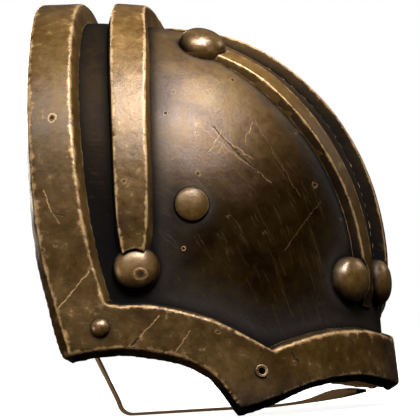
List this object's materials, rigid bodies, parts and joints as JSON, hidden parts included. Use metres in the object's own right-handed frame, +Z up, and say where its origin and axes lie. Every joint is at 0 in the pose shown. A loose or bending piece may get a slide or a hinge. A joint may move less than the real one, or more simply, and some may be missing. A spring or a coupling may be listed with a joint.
{
  "type": "pauldron",
  "caption": "Domed bronze shoulder guard with a raised neck band and pointed rim, an arch band, ribs and domed studs, standing on its rim.",
  "frame": {"origin": "middle of the footprint, on the surface the guard stands on", "axes": "+X from the neck to the arm side, +Y to the back, +Z up as it stands on its rim point and back bar"},
  "size_m": [0.2172, 0.2502, 0.2643],
  "materials": {
    "plate": "aged brown patina, satin",
    "band": "aged bronze with worn edges",
    "stud": "polished dome with a dark foot",
    "bar": "dark aged bronze"
  },
  "bodies": {
    "root": {"shell": "plate", "rim_frame": "band", "arch_band": "band", "front_rib": "band", "back_rib": "band", "crest_rib": "band", "band_stud_front": "stud", "band_stud_back": "stud", "rib_top_stud_front": "stud", "rib_top_stud_back": "stud", "rib_low_stud_front": "stud", "rib_low_stud_back": "stud", "crest_stud": "stud", "face_rivet_front": "plate", "face_rivet_back": "plate", "corner_rivet_front": "stud", "corner_rivet_back": "stud", "ring_rivet": "stud", "back_bar": "bar"}
  },
  "joints": []
}
